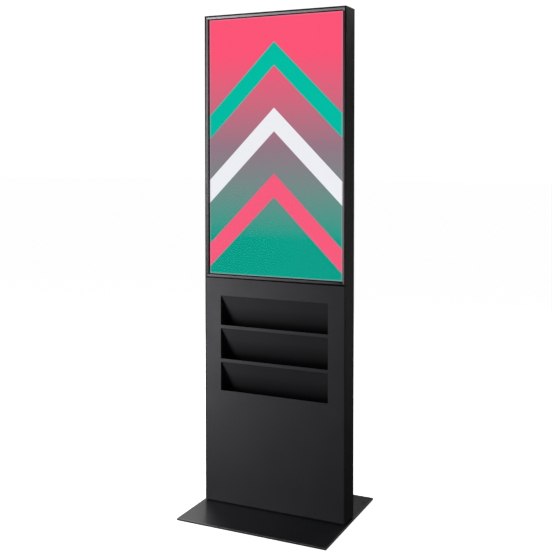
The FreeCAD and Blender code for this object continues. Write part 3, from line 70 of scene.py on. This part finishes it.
class Shader:
    """A material's node tree with short calls for the nodes used here."""

    def __init__(self, name):
        self.material = bpy.data.materials.new(name)
        self.material.use_nodes = True
        self.tree = self.material.node_tree
        self.tree.nodes.clear()
        self.output = self.tree.nodes.new("ShaderNodeOutputMaterial")
        self.surface = self.tree.nodes.new("ShaderNodeBsdfPrincipled")
        self.tree.links.new(self.surface.outputs[0], self.output.inputs["Surface"])
        self.place = self.tree.nodes.new("ShaderNodeTexCoord").outputs["Object"]
        self.x, self.y, self.z = self.node("SeparateXYZ", (), Vector=self.place).outputs

    def link(self, source, socket):
        """Joins an output to a socket, or sets the socket to a constant."""
        if isinstance(source, bpy.types.NodeSocket):
            self.tree.links.new(source, socket)
        else:
            socket.default_value = source

    def node(self, kind, settings=(), **inputs):
        """Adds a node; an underscore stands for a space in the name of an input."""
        made = self.tree.nodes.new("ShaderNode" + kind)
        for name, value in settings:
            setattr(made, name, value)
        for name, value in inputs.items():
            self.link(value, made.inputs[name.replace("_", " ")])
        return made

    def math(self, operation, first, second=0.0, third=None, clamp=False):
        """Value of a math node."""
        made = self.node("Math", (("operation", operation), ("use_clamp", clamp)))
        self.link(first, made.inputs[0])
        self.link(second, made.inputs[1])
        if third is not None:
            self.link(third, made.inputs[2])
        return made.outputs[0]

    def passed(self, start, end, width):
        """How far the end has passed the start, as a share of a width, held between 0 and 1."""
        return self.math("DIVIDE", self.math("SUBTRACT", end, start), width, clamp=True)

    def scaled(self, stretch):
        """Object coordinates multiplied along each axis."""
        made = self.node("VectorMath", (("operation", "MULTIPLY"),))
        self.link(self.place, made.inputs[0])
        made.inputs[1].default_value = stretch
        return made.outputs[0]

    def noise(self, scale, detail=3.0, rough=0.5, stretch=None):
        """Noise between 0 and 1 over the object's coordinates."""
        place = self.scaled(stretch) if stretch else self.place
        made = self.node("TexNoise", (), Vector=place, Scale=scale, Detail=detail, Roughness=rough)
        return made.outputs["Fac"]

    def cells(self, scale):
        """A grey of its own for each cell of an uneven cell pattern."""
        made = self.node("TexVoronoi", (), Vector=self.place, Scale=scale)
        return self.node("RGBToBW", (), Color=made.outputs["Color"]).outputs[0]

    def ramp(self, factor, *stops):
        """Colour ramp of (position, colour) stops; a grey may be one number."""
        made = self.node("ValToRGB", (), Fac=factor)
        band = made.color_ramp
        while len(band.elements) < len(stops):
            band.elements.new(0.5)
        for element, (position, colour) in zip(band.elements, stops):
            element.position = position
            rgb = colour if isinstance(colour, tuple) else (colour,) * 3
            element.color = (*rgb, 1.0)
        return made.outputs["Color"]

    def mix(self, factor, first, second, blend="MIX"):
        """Two colours mixed by a factor."""
        made = self.node("Mix", (("data_type", "RGBA"), ("blend_type", blend)))
        self.link(factor, made.inputs[0])
        self.link(first, made.inputs[6])
        self.link(second, made.inputs[7])
        return made.outputs[2]

    def bump(self, height, strength, distance, normal=None):
        """Surface normal tilted by a height."""
        made = self.node("Bump", (), Height=height, Strength=strength, Distance=distance)
        if normal is not None:
            self.link(normal, made.inputs["Normal"])
        return made.outputs["Normal"]

    def finish(self, **inputs):
        """Sets the surface's inputs and gives the material back."""
        for name, value in inputs.items():
            self.link(value, self.surface.inputs[name.replace("_", " ")])
        return self.material


def shades(colour, *factors):
    """The colour at several brightnesses."""
    return [tuple(min(1.0, part * factor) for part in colour) for factor in factors]


def linear(red, green, blue):
    """A display colour, 0 to 255, as light."""
    def part(value):
        value /= 255.0
        return value / 12.92 if value <= 0.04045 else ((value + 0.055) / 1.055) ** 2.4
    return (part(red), part(green), part(blue), 1.0)


def powder_coat(name, colour, roughness, gloss=0.5):
    """Baked powder paint: orange peel, light flecks and a slow drift of tone and gloss."""
    shader = Shader(name)
    grain = 700.0     # scale of the finest orange peel
    depth = 0.00012   # its height in metres
    low, high = shades(colour, 0.88, 1.12)
    tone = shader.ramp(shader.noise(3.0, 4.0), (0.3, low), (0.7, high))
    fleck = shader.noise(grain * 2.2, 2.0)
    tone = shader.mix(shader.ramp(fleck, (0.62, 0.0), (0.75, 0.35)), tone,
                      (*shades(colour, 1.9)[0], 1.0))
    peel = shader.bump(shader.noise(grain, 2.0), 0.35, depth)
    peel = shader.bump(shader.noise(grain * 0.16, 1.0), 0.12, depth * 4, peel)
    rough = shader.ramp(shader.noise(14.0, 5.0, 0.6), (0.3, roughness * 0.88), (0.7, roughness * 1.12))
    return shader.finish(Base_Color=tone, Roughness=rough, Normal=peel, Specular_IOR_Level=gloss)


def brushed(name, colour, roughness, stretch, metallic):
    """Metal with drawn lines along one axis."""
    shader = Shader(name)
    lines = shader.noise(900.0, 4.0, 0.6, stretch)
    low, high = shades(colour, 0.82, 1.1)
    tone = shader.ramp(lines, (0.3, low), (0.7, high))
    rough = shader.ramp(lines, (0.3, roughness * 0.8), (0.7, roughness * 1.25))
    return shader.finish(Base_Color=tone, Roughness=rough, Metallic=metallic,
                         Normal=shader.bump(lines, 0.12, 0.00005))


def galvanised(name, colour):
    """Zinc-coated sheet with soft crystal spangles."""
    shader = Shader(name)
    grey = shader.cells(70.0)
    low, middle, high = shades(colour, 0.8, 1.0, 1.2)
    tone = shader.ramp(grey, (0.2, low), (0.5, middle), (0.8, high))
    rough = shader.ramp(grey, (0.2, 0.32), (0.8, 0.48))
    return shader.finish(Base_Color=tone, Roughness=rough, Metallic=0.9,
                         Normal=shader.bump(shader.noise(60.0, 5.0), 0.08, 0.0002))


def plated(name, colour, roughness):
    """Plated or turned metal with faint marks."""
    shader = Shader(name)
    marks = shader.noise(400.0, 6.0, 0.65)
    low, high = shades(colour, 0.85, 1.08)
    tone = shader.ramp(marks, (0.35, low), (0.65, high))
    rough = shader.ramp(marks, (0.35, roughness * 0.8), (0.65, roughness * 1.3))
    return shader.finish(Base_Color=tone, Roughness=rough, Metallic=1.0,
                         Normal=shader.bump(marks, 0.08, 0.00004))


def moulded(name, colour, roughness):
    """Moulded plastic with spark-eroded texture."""
    shader = Shader(name)
    pits = shader.noise(900.0, 3.0, 0.6)
    low, high = shades(colour, 0.85, 1.2)
    tone = shader.ramp(shader.noise(30.0, 3.0), (0.3, low), (0.7, high))
    rough = shader.ramp(pits, (0.3, roughness * 0.9), (0.7, roughness * 1.1))
    return shader.finish(Base_Color=tone, Roughness=rough, Normal=shader.bump(pits, 0.25, 0.0001))


def rubber(name, colour):
    """Grainy rubber sheet and foam."""
    shader = Shader(name)
    grain = shader.noise(500.0, 4.0, 0.7)
    low, high = shades(colour, 0.7, 1.4)
    tone = shader.ramp(grain, (0.3, low), (0.7, high))
    return shader.finish(Base_Color=tone, Roughness=0.85, Normal=shader.bump(grain, 0.4, 0.0003))


def circuit(name, colour):
    """Solder mask with traces on the board itself, and dark or bright blocks standing on it."""
    shader = Shader(name)
    board_thick = 0.0018
    traces = shader.node("TexBrick", (("offset", 0.5),), Vector=shader.scaled((1.0, 0.0, 1.0)),
                         Scale=160.0, Color1=(*shades(colour, 1.0)[0], 1.0),
                         Color2=(*shades(colour, 0.8)[0], 1.0), Mortar=(*shades(colour, 2.2)[0], 1.0))
    traces.inputs["Mortar Size"].default_value = 0.015
    standing = shader.math("GREATER_THAN", shader.y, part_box("main_board")[0].y + board_thick)
    grey = shader.cells(45.0)
    body = shader.ramp(grey, (0.35, (0.012, 0.012, 0.014)), (0.6, (0.03, 0.03, 0.035)),
                       (0.72, (0.45, 0.46, 0.48)))
    tone = shader.mix(standing, traces.outputs["Color"], body)
    return shader.finish(Base_Color=tone, Roughness=0.42, Normal=shader.bump(grey, 0.05, 0.0001))


def opal(name, colour):
    """Milky plastic with a faint haze."""
    shader = Shader(name)
    haze = shader.noise(12.0, 3.0)
    low, high = shades(colour, 0.92, 1.0)
    return shader.finish(Base_Color=shader.ramp(haze, (0.3, low), (0.7, high)), Roughness=0.6)


def led_board(name, colour):
    """White backlight boards whose domed lenses are pale yellow and glossy."""
    shader = Shader(name)
    board_thick = 0.0012
    lens = shader.math("LESS_THAN", shader.y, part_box("backlight_bars")[1].y - board_thick)
    tone = shader.mix(lens, (*colour, 1.0), (0.95, 0.9, 0.6, 1.0))
    return shader.finish(Base_Color=tone, Roughness=shader.ramp(lens, (0.4, 0.5), (0.6, 0.1)))


def cover_glass(name):
    """Anti-reflective cover glass with faint smears and a trace of green."""
    shader = Shader(name)
    smears = shader.noise(9.0, 5.0, 0.6)
    rough = shader.ramp(smears, (0.4, 0.0), (0.75, 0.03))
    return shader.finish(Base_Color=(0.985, 1.0, 0.995, 1.0), Roughness=rough, IOR=1.15,
                         Transmission_Weight=1.0)


# ---- the picture on the screen -------------------------------------------------------------------

PICTURE_EDGE = 0.0040   # dark border of the panel around the picture
PICTURE_HAZE = 0.0055   # width of the pale haze inside that border
PICTURE_SOFT = 0.0006   # width over which two colours of the picture meet
CHEVRON_TALL = 0.085    # height of each chevron's band
FADE = (
    # share of the picture's height, colour there
    (0.15, linear(0, 160, 140)), (0.50, linear(150, 120, 135)), (0.85, linear(255, 85, 120)),
)
CHEVRONS = (
    # share of the picture's height at the tip, colour
    (0.90, linear(0, 190, 165)), (0.65, linear(240, 240, 245)), (0.40, linear(250, 90, 125)),
)


def screen_picture(name):
    """A plain lit picture: pink fading to teal behind three equal chevrons in the middle."""
    shader = Shader(name)
    low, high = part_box("screen_panel")
    tall = high.z - low.z
    from_middle = shader.math("ABSOLUTE", shader.x)

    height = shader.passed(low.z, shader.z, tall)
    colour = shader.ramp(height, *((share, ink[:3]) for share, ink in FADE))
    slope = shader.math("ADD", shader.z, from_middle)
    for share, ink in CHEVRONS:
        below_tip = shader.math("SUBTRACT", low.z + share * tall, slope)
        band = shader.math("SUBTRACT", shader.passed(0.0, below_tip, PICTURE_SOFT),
                           shader.passed(CHEVRON_TALL, below_tip, PICTURE_SOFT))
        colour = shader.mix(band, colour, ink)

    stripe = shader.node("TexWave", (("wave_type", "BANDS"), ("bands_direction", "X")),
                         Vector=shader.place, Scale=400.0)
    columns = shader.ramp(stripe.outputs["Fac"], (0.0, 0.97), (0.5, 1.0))
    lit = shader.mix(1.0, colour, columns, "MULTIPLY")

    from_centre = shader.math("ABSOLUTE", shader.math("SUBTRACT", shader.z, (high.z + low.z) / 2))
    from_edge = shader.math("MINIMUM", shader.math("SUBTRACT", high.x, from_middle),
                            shader.math("SUBTRACT", tall / 2, from_centre))
    haze = shader.passed(from_edge, PICTURE_EDGE + PICTURE_HAZE, PICTURE_HAZE)
    lit = shader.mix(shader.math("MULTIPLY", haze, 0.42), lit, linear(196, 170, 190))
    inner = shader.passed(PICTURE_EDGE, from_edge, PICTURE_SOFT)
    lit = shader.mix(inner, linear(52, 22, 36), lit)
    return shader.finish(Base_Color=(0.001, 0.001, 0.001, 1), Roughness=0.6, Emission_Color=lit,
                         Specular_IOR_Level=0.0, Emission_Strength=1.0)


# ---- paints that change with the place on the part, painted light and shade among them -----------

def touch_band(name):
    """Anodised touch frame with fine lines along it; a painted highlight lightens its left and top
    sides and painted shade darkens its right and bottom.
    """
    shader = Shader(name)
    low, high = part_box("touch_frame")
    top_band, soft = 0.012, 0.003
    lines = shader.noise(900.0, 4.0, 0.6, (1.0, 1.0, 0.06))
    # painted light: a painted highlight towards the left and top, painted shade towards the right and
    # bottom
    from_right = shader.passed(shader.x, high.x, high.x - low.x)
    from_bottom = shader.passed(low.z, shader.z, high.z - low.z)
    painted_light_share = shader.math("MINIMUM", from_right, shader.math("ADD", from_bottom, 0.12))
    painted_light_share = shader.math("MAXIMUM", painted_light_share, shader.passed(high.z - top_band, shader.z, soft))
    tone = shader.ramp(painted_light_share, (0.02, (0.030, 0.020, 0.026)), (0.12, (0.10, 0.09, 0.10)),
                       (0.9, (0.62, 0.60, 0.63)))
    low_tone = shader.mix(shader.ramp(lines, (0.35, 0.0), (0.65, 0.3)), tone, (0.16, 0.15, 0.16, 1))
    return shader.finish(Base_Color=low_tone, Roughness=shader.ramp(lines, (0.3, 0.38), (0.7, 0.5)),
                         Metallic=0.2, Normal=shader.bump(lines, 0.1, 0.00005))


def pocket_coat_with_painted_shade(name, colour):
    """Powder coat of the trays, with painted shade that darkens it from 14 mm behind the lip to the
    pocket's root.
    """
    shader = Shader(name)
    depth = shader.math("SUBTRACT", shader.y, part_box("tray_upper")[0].y)
    # painted shade: the coat gets darker with depth into the pocket, where shade falls in the recess
    share = shader.ramp(depth, (0.014, 1.0), (0.042, 0.06))
    fine = shader.noise(700.0, 2.0)
    low_tone, high_tone = shades(colour, 0.88, 1.12)
    tone = shader.mix(1.0, shader.ramp(shader.noise(3.0, 4.0), (0.3, low_tone), (0.7, high_tone)),
                      share, "MULTIPLY")
    return shader.finish(Base_Color=tone, Roughness=shader.ramp(fine, (0.3, 0.45), (0.7, 0.6)),
                         Specular_IOR_Level=0.25, Normal=shader.bump(fine, 0.3, 0.0001))


def plate_paint(name, colour):
    """Satin paint of the floor plate, with a lighter line along its top edges that is partly edge wear
    and partly a painted highlight.
    """
    shader = Shader(name)
    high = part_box("base_plate")[1]
    edge_line_wide, edge_line_deep, soft = 0.0034, 0.0017, 0.0014
    from_side = shader.math("SUBTRACT", high.x, shader.math("ABSOLUTE", shader.x))
    from_front = shader.math("SUBTRACT", high.y, shader.math("ABSOLUTE", shader.y))
    # lighter line along the top edges, broken into patches: partly wear, partly a painted highlight of
    # the lit edge
    near = shader.passed(shader.math("MINIMUM", from_side, from_front), edge_line_wide, soft)
    above = shader.math("GREATER_THAN", shader.z, high.z - edge_line_deep)
    patchy = shader.ramp(shader.noise(45.0, 4.0, 0.6), (0.25, 0.45), (0.6, 1.0))
    wear_and_highlight = shader.math("MULTIPLY", shader.math("MULTIPLY", near, above), patchy)
    low, middle = shades(colour, 0.85, 1.15)
    tone = shader.ramp(shader.noise(4.0, 4.0), (0.3, low), (0.7, middle))
    tone = shader.mix(wear_and_highlight, tone, (0.16, 0.16, 0.165, 1.0))
    fine = shader.noise(500.0, 2.0)
    rough = shader.ramp(shader.noise(14.0, 5.0, 0.6), (0.3, 0.27), (0.7, 0.33))
    return shader.finish(Base_Color=tone, Roughness=rough, Specular_IOR_Level=0.5,
                         Normal=shader.bump(fine, 0.15, 0.00004))


def lamp(name):
    """Small green pilot lamp with a mottled glow."""
    shader = Shader(name)
    glow = shader.noise(900.0, 2.0)
    colour = shader.ramp(glow, (0.3, (0.05, 0.75, 0.25)), (0.7, (0.15, 0.95, 0.4)))
    return shader.finish(Base_Color=(0.05, 0.5, 0.2, 1.0), Roughness=0.25, Emission_Color=colour,
                         Emission_Strength=1.6)


# ---- one material for each slot ------------------------------------------------------------------

FINISHES = {
    # slot: the finish, then its colour and other settings
    "mat_rubber": (rubber, (0.02, 0.02, 0.02)),
    "plate_steel": (plate_paint, (0.0115, 0.0125, 0.015)),
    "zinc_steel": (plated, (0.62, 0.63, 0.64), 0.28),
    "plinth_black": (powder_coat, (0.004, 0.004, 0.004), 0.7, 0.2),
    "frame_steel": (powder_coat, (0.03, 0.03, 0.033), 0.5),
    "galvanised": (galvanised, (0.5, 0.52, 0.53)),
    "profile_coat": (powder_coat, (0.020, 0.019, 0.019), 0.45, 0.3),
    "panel_coat": (powder_coat, (0.036, 0.0355, 0.042), 0.5, 0.35),
    "tray_coat": (pocket_coat_with_painted_shade, (0.034, 0.034, 0.038)),
    "surround_black": (powder_coat, (0.004, 0.004, 0.004), 0.35, 0.3),
    "bezel_grey": (touch_band,),
    "circuit_board": (circuit, (0.02, 0.12, 0.05)),
    "cover_glass": (cover_glass,),
    "foam_black": (rubber, (0.012, 0.012, 0.012)),
    "screen": (screen_picture,),
    "diffuser": (opal, (0.85, 0.86, 0.88)),
    "dark_plastic": (moulded, (0.015, 0.015, 0.017), 0.5),
    "led_strip": (led_board, (0.8, 0.8, 0.78)),
    "brass_standoff": (plated, (0.72, 0.55, 0.25), 0.3),
    "player_case": (brushed, (0.05, 0.05, 0.055), 0.42, (1.0, 12.0, 12.0), 0.8),
    "cover_coat": (powder_coat, (0.045, 0.045, 0.048), 0.5, 0.4),
    "screw_black": (plated, (0.05, 0.05, 0.05), 0.35),
    "hinge_steel": (powder_coat, (0.022, 0.022, 0.024), 0.4, 0.4),
    "lock_chrome": (plated, (0.80, 0.81, 0.82), 0.32),
    "rocker_plastic": (moulded, (0.012, 0.012, 0.012), 0.25),
    "lead_jacket": (moulded, (0.012, 0.012, 0.012), 0.55),
}
MATERIALS = {slot: make(slot, *settings) for slot, (make, *settings) in FINISHES.items()}
for node_name, item in frame["nodes"].items():
    item.data.materials.clear()
    item.data.materials.append(MATERIALS[node_slot[node_name]])


# ---- edges and small pieces ----------------------------------------------------------------------

EDGES = {
    # node: width of the small round on its edges, in metres
    "base_plate": 0.0014, "top_cap": 0.0006, "side_profile_left": 0.0006, "side_profile_right": 0.0006,
    "lower_front_panel": 0.0004, "display_surround": 0.0005, "touch_frame": 0.0003,
    "tray_upper": 0.0003, "tray_middle": 0.0003, "tray_lower": 0.0003,
    "rear_sill": 0.0004, "service_door": 0.0004, "upper_rear_cover": 0.0004,
    "media_player": 0.0008, "socket_strip": 0.0008, "mains_inlet": 0.0005, "equipment_shelf": 0.0003,
    "hinge_door_halves": 0.0005, "hinge_frame_halves": 0.0005, "power_rocker": 0.0006,
}


def round_edges(item, width):
    """Joins the shell's split corners, then rounds its sharp edges."""
    weld = item.modifiers.new("weld", "WELD")
    weld.merge_threshold = 0.00001
    bevel = item.modifiers.new("bevel", "BEVEL")
    bevel.width = width
    bevel.segments = 2
    bevel.limit_method = "ANGLE"
    bevel.angle_limit = math.radians(40)
    bevel.harden_normals = True


for node_name, width in EDGES.items():
    round_edges(frame["nodes"][node_name], width)


def islands(node_name):
    """Lowest and highest corner of each separate solid in a node."""
    mesh = frame["nodes"][node_name].data
    owner = {}

    def root(key):
        while owner[key] != key:
            owner[key] = owner[owner[key]]
            key = owner[key]
        return key

    keys = [tuple(round(part, 6) for part in vertex.co) for vertex in mesh.vertices]
    for key in keys:
        owner.setdefault(key, key)
    for edge in mesh.edges:
        owner[root(keys[edge.vertices[0]])] = root(keys[edge.vertices[1]])
    groups = {}
    for key in sorted(owner):
        groups.setdefault(root(key), []).append(key)
    return [(Vector(map(min, zip(*group))), Vector(map(max, zip(*group)))) for group in groups.values()]


def ring_point(radius, turn, sides):
    """Distance from the axis at an angle: a circle, or a polygon when sides are given."""
    if not sides:
        return radius
    step = math.tau / sides
    return radius / math.cos((turn % step) - step / 2)


def turned(shape, centre, axis, rings, steps=48):
    """Adds a skin of rings along an axis, closed at both ends; a ring is (radius, height, sides)."""
    out = Vector(axis).normalized()
    first = out.orthogonal().normalized()
    second = out.cross(first)
    loops = []
    for radius, height, sides in rings:
        loop = []
        for step in range(steps):
            turn = math.tau * step / steps
            reach = ring_point(radius, turn, sides)
            spot = Vector(centre) + out * height
            spot += first * reach * math.cos(turn) + second * reach * math.sin(turn)
            loop.append(shape.verts.new(spot))
        loops.append(loop)
    for lower, upper in zip(loops, loops[1:]):
        for step in range(steps):
            following = (step + 1) % steps
            shape.faces.new((lower[step], lower[following], upper[following], upper[step]))
    shape.faces.new(list(reversed(loops[0])))
    shape.faces.new(loops[-1])


def block(shape, low, high, bevel=0.0003):
    """Adds a box with rounded edges."""
    made = bmesh.ops.create_cube(shape, size=1.0)["verts"]
    size = Vector(high) - Vector(low)
    for vertex in made:
        vertex.co = Vector(low) + Vector(part * (place + 0.5) for part, place in zip(size, vertex.co))
    edges = list({edge for vertex in made for edge in vertex.link_edges})
    bmesh.ops.bevel(shape, geom=edges, offset=bevel, segments=2, affect="EDGES", profile=0.5)


def piece(name, shape, body, slot, material=None, replaced=()):
    """Turns a finished bmesh into an object that rides on a body, in its slot's material or its own."""
    bmesh.ops.recalc_face_normals(shape, faces=shape.faces[:])
    mesh = bpy.data.meshes.new(name)
    shape.to_mesh(mesh)
    shape.free()
    made = bpy.data.objects.new(name, mesh)
    bpy.context.scene.collection.objects.link(made)
    mesh.materials.append(material or MATERIALS[slot])
    for face in mesh.polygons:
        face.use_smooth = True
    mesh.set_sharp_from_angle(angle=math.radians(35))
    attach(made, body)
    for node_name in replaced:
        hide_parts(node_name)


def make_cover_screws():
    """Button-head screws with a six-sided socket, on the same seats."""
    shape = bmesh.new()
    for low, high in islands("cover_screws"):
        centre = Vector(((low.x + high.x) / 2, low.y, (low.z + high.z) / 2))
        radius, tall = (high.x - low.x) / 2, high.y - low.y
        rings = [(radius * 0.98, 0.0, 0), (radius, tall * 0.25, 0), (radius * 0.94, tall * 0.6, 0),
                 (radius * 0.78, tall * 0.9, 0), (radius * 0.60, tall, 0), (radius * 0.50, tall, 6),
                 (radius * 0.46, tall * 0.35, 6), (radius * 0.1, tall * 0.25, 6)]
        turned(shape, centre, (0, 1, 0), rings)
    piece("button_screws", shape, "root", "screw_black", replaced=["cover_screws"])


def make_lock_face():
    """Raised key face of the cam lock and the slot in it, which turn with the plug; the slot is a thin
    dark inlay painted as the shade inside the keyway.
    """
    low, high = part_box("lock_barrel")
    plug_low, plug_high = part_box("lock_plug")
    radius = (plug_high.x - plug_low.x) / 2
    face = plug_high.y
    centre = Vector(((low.x + high.x) / 2, face, (low.z + high.z) / 2))
    shape = bmesh.new()
    turned(shape, centre, (0, 1, 0), [(radius * 0.97, -0.0006, 0), (radius * 0.97, 0.0, 0),
                                     (radius * 0.90, 0.0003, 0), (radius * 0.2, 0.0003, 0)])
    piece("key_face", shape, "lock_turn", "lock_chrome")
    # painted shade: a dark inlay where the keyway's hollow would be
    shape = bmesh.new()
    block(shape, (centre.x - 0.0007, face + 0.0002, centre.z - 0.0040),
          (centre.x + 0.0007, face + 0.0004, centre.z + 0.0040), 0.00008)
    for level in (centre.z - 0.0012, centre.z + 0.0012):
        block(shape, (centre.x - 0.0013, face + 0.0002, level - 0.0004),
              (centre.x + 0.0013, face + 0.0004, level + 0.0004), 0.00008)
    piece("key_slot", shape, "lock_turn", "rocker_plastic")


def make_player_details():
    """Power button, lamp and cooling ribs on the media player's rear face."""
    low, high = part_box("media_player")
    ribs, first_rib, spacing, rib_wide = 6, 0.016, 0.006, 0.0026
    shape = bmesh.new()
    for column in range(ribs):
        x = low.x + first_rib + column * spacing
        block(shape, (x, high.y - 0.0002, low.z + 0.030),
              (x + rib_wide, high.y + 0.0016, high.z - 0.020), 0.0005)
    piece("player_ribs", shape, "root", "player_case")
    button = Vector((high.x - 0.016, high.y, low.z + 0.020))
    shape = bmesh.new()
    turned(shape, button, (0, 1, 0), [(0.0062, -0.0002, 0), (0.0062, 0.0008, 0), (0.0056, 0.0013, 0),
                                     (0.0050, 0.0009, 0), (0.0046, 0.0009, 0), (0.0042, 0.0014, 0),
                                     (0.0020, 0.0016, 0)])
    piece("player_button", shape, "root", "zinc_steel")
    shape = bmesh.new()
    turned(shape, button - Vector((0.014, 0, 0)), (0, 1, 0),
           [(0.0016, -0.0002, 0), (0.0016, 0.0003, 0), (0.0011, 0.0007, 0), (0.0003, 0.0009, 0)], 24)
    piece("player_lamp", shape, "root", "led_strip", lamp("player_lamp"))


make_cover_screws()
make_lock_face()
make_player_details()


# ---- floor and light -----------------------------------------------------------------------------

LIGHTS = {
    # place, what it points at, size and power in watts
    "left_key": ((-1.1, -0.95, 0.7), (-0.2, 0.0, 0.6), (0.5, 1.4), 14.2),
    "left_upper": ((-1.05, -0.65, 1.25), (-0.2, 0.0, 0.7), (0.6, 1.2), 5.0),
    "right_rear": ((2.6, 2.0, 0.6), (0.28, 0.0, 0.7), (1.0, 1.6), 9.5),
    "left_rear": ((-1.3, 1.2, 1.0), (-0.25, 0.0, 0.1), (0.8, 0.8), 2.2),
    "right_top": ((1.0, 2.4, 3.0), (0.28, 0.0, 1.75), (0.6, 0.6), 22.0),
    "rear_side": ((-2.6, 2.2, 0.7), (0.0, 0.0, 0.8), (0.8, 1.6), 28.0),
    "rear_fill": ((-0.9, 2.2, 2.8), (0.0, 0.0, 0.9), (1.2, 1.6), 37.0),
}


def make_floor():
    """Plain white floor that the camera sees; it throws no light back on the object."""
    mesh = bpy.data.meshes.new("floor")
    reach = 40.0
    mesh.from_pydata([(-reach, -reach, 0), (reach, -reach, 0), (reach, reach, 0), (-reach, reach, 0)],
                     [], [(0, 1, 2, 3)])
    floor = bpy.data.objects.new("floor", mesh)
    floor.location.z = -0.0005
    floor.visible_diffuse = False
    floor.visible_glossy = False
    bpy.context.scene.collection.objects.link(floor)
    shader = Shader("floor")
    tone = shader.ramp(shader.noise(0.6, 2.0), (0.3, 0.80), (0.7, 0.82))
    mesh.materials.append(shader.finish(Base_Color=tone, Roughness=0.9, Specular_IOR_Level=0.0,
                                        Emission_Color=(1, 1, 1, 1), Emission_Strength=0.95))


def area_light(name, place, target, size, power):
    """White rectangular lamp that points at a target."""
    data = bpy.data.lights.new(name, "AREA")
    data.shape = "RECTANGLE"
    data.size, data.size_y = size
    data.energy = power
    light = bpy.data.objects.new(name, data)
    light.location = place
    light.rotation_euler = (Vector(target) - Vector(place)).to_track_quat("-Z", "Y").to_euler()
    bpy.context.scene.collection.objects.link(light)


def make_world():
    """White to the camera; its light is soft and dim, strongest from the front, weakest from below."""
    world = bpy.data.worlds.new("studio")
    bpy.context.scene.world = world
    world.use_nodes = True
    tree = world.node_tree
    tree.nodes.clear()

    def band(source, *stops):
        """Grey ramp over a direction's part, whose range is -1 to 1."""
        half = tree.nodes.new("ShaderNodeMath")
        half.operation = "MULTIPLY_ADD"
        half.inputs[1].default_value = 0.5
        half.inputs[2].default_value = 0.5
        tree.links.new(source, half.inputs[0])
        ramp = tree.nodes.new("ShaderNodeValToRGB")
        tree.links.new(half.outputs[0], ramp.inputs[0])
        while len(ramp.color_ramp.elements) < len(stops):
            ramp.color_ramp.elements.new(0.5)
        for element, (part, grey) in zip(ramp.color_ramp.elements, stops):
            element.position = 0.5 + part / 2
            element.color = (grey, grey, grey, 1)
        return ramp.outputs[0]

    direction = tree.nodes.new("ShaderNodeTexCoord").outputs["Generated"]
    split = tree.nodes.new("ShaderNodeSeparateXYZ")
    tree.links.new(direction, split.inputs[0])
    across = band(split.outputs["Y"], (-0.2, 0.085), (0.2, 0.03))
    height = band(split.outputs["Z"], (-0.4, 0.5), (0.15, 1.0), (0.5, 0.8))
    both = tree.nodes.new("ShaderNodeMix")
    both.data_type = "RGBA"
    both.blend_type = "MULTIPLY"
    both.inputs[0].default_value = 1.0
    tree.links.new(across, both.inputs[6])
    tree.links.new(height, both.inputs[7])
    soft = tree.nodes.new("ShaderNodeBackground")
    tree.links.new(both.outputs[2], soft.inputs["Color"])
    plain = tree.nodes.new("ShaderNodeBackground")
    plain.inputs["Color"].default_value = (1, 1, 1, 1)
    plain.inputs["Strength"].default_value = 1.05
    seen = tree.nodes.new("ShaderNodeLightPath").outputs["Is Camera Ray"]
    choose = tree.nodes.new("ShaderNodeMixShader")
    tree.links.new(seen, choose.inputs[0])
    tree.links.new(soft.outputs[0], choose.inputs[1])
    tree.links.new(plain.outputs[0], choose.inputs[2])
    tree.links.new(choose.outputs[0], tree.nodes.new("ShaderNodeOutputWorld").inputs["Surface"])


make_floor()
make_world()
for light_name, settings in LIGHTS.items():
    area_light(light_name, *settings)
